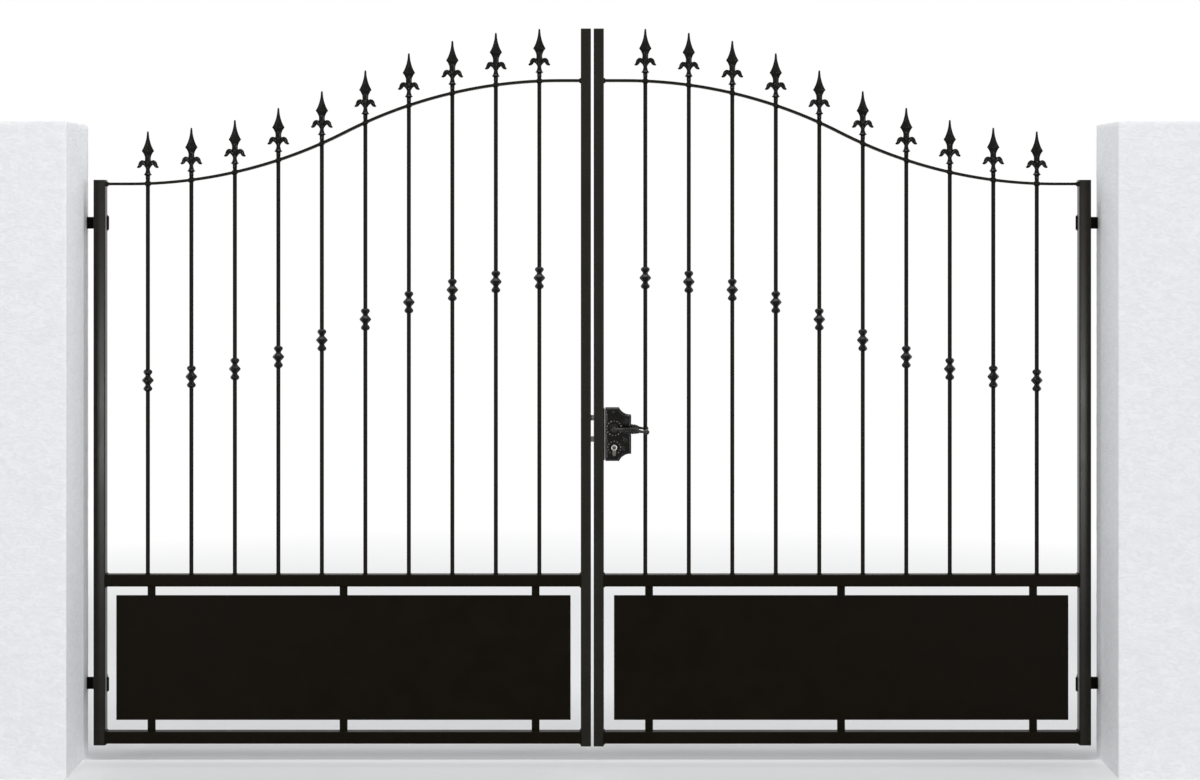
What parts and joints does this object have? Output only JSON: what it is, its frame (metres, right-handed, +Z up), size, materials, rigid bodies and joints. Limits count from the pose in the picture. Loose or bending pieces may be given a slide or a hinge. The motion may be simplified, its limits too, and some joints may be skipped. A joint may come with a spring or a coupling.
{
  "type": "wrought iron driveway gate",
  "caption": "Double swing driveway gate: two arched leaves of round bars with cast spearheads, collars and a sheet kick panel, hung between rendered pillars, with a lever lock.",
  "frame": {"origin": "centre of the left pillar's base face, seen from the street", "axes": "+X across the gateway to the right pillar, +Y inward, away from the street, +Z up"},
  "size_m": [3.6, 0.3102, 2.1561],
  "materials": {
    "black_paint": "satin",
    "cast_black": "satin",
    "black_plastic": "satin",
    "zinc_plate": "satin",
    "nickel": "satin",
    "bolt_steel": "satin",
    "render": "matte"
  },
  "bodies": {
    "posts": {"left_pillar": "render", "right_pillar": "render", "left_hinge_eyes": "black_paint", "right_hinge_eyes": "black_paint"},
    "left_leaf": {"left_hinge_stile": "black_paint", "left_meeting_stile": "black_paint", "left_bottom_rail": "black_paint", "left_middle_rail": "black_paint", "left_arched_rail": "black_paint", "left_bars": "black_paint", "left_bar_collars": "cast_black", "left_spear_finials": "cast_black", "left_kick_panel": "black_paint", "left_panel_straps": "black_paint", "left_stile_caps": "black_plastic", "left_hinge_forks": "black_paint"},
    "right_leaf": {"right_hinge_stile": "black_paint", "right_meeting_stile": "black_paint", "right_bottom_rail": "black_paint", "right_middle_rail": "black_paint", "right_arched_rail": "black_paint", "right_bars": "black_paint", "right_bar_collars": "cast_black", "right_spear_finials": "cast_black", "right_kick_panel": "black_paint", "right_panel_straps": "black_paint", "right_stile_caps": "black_plastic", "right_hinge_forks": "black_paint", "lock_case": "zinc_plate", "front_lock_plate": "cast_black", "rear_lock_plate": "cast_black", "lock_cylinder": "nickel"},
    "handle": {"front_lever": "cast_black", "rear_lever": "cast_black", "spindle": "bolt_steel"},
    "latch": {"latch_bolt": "bolt_steel"},
    "dead_bolt": {"deadbolt": "bolt_steel"}
  },
  "joints": [
    {"name": "left_leaf_hinge", "type": "hinge", "parent": "posts", "child": "left_leaf", "pos_m": [0.1975, 0.131, 0], "axis": [0, 0, 1], "range_deg": [0, 95]},
    {"name": "right_leaf_hinge", "type": "hinge", "parent": "posts", "child": "right_leaf", "pos_m": [3.1025, 0.131, 0], "axis": [0, 0, -1], "range_deg": [0, 95]},
    {"name": "handle_turn", "type": "hinge", "parent": "right_leaf", "child": "handle", "pos_m": [1.7144, 0.0925, 0.978], "axis": [0, 1, 0], "range_deg": [0, 40], "stiffness_Nm_per_rad": 1, "springref_deg": -34.38},
    {"name": "latch_slide", "type": "slide", "parent": "right_leaf", "child": "latch", "axis": [1, 0, 0], "range_m": [0, 0.0121]},
    {"name": "deadbolt_slide", "type": "slide", "parent": "right_leaf", "child": "dead_bolt", "axis": [1, 0, 0], "range_m": [0, 0.014]}
  ],
  "couplings": [
    {"joint": "latch_slide", "follows": "handle_turn", "m_per_rad": 0.017189}
  ]
}
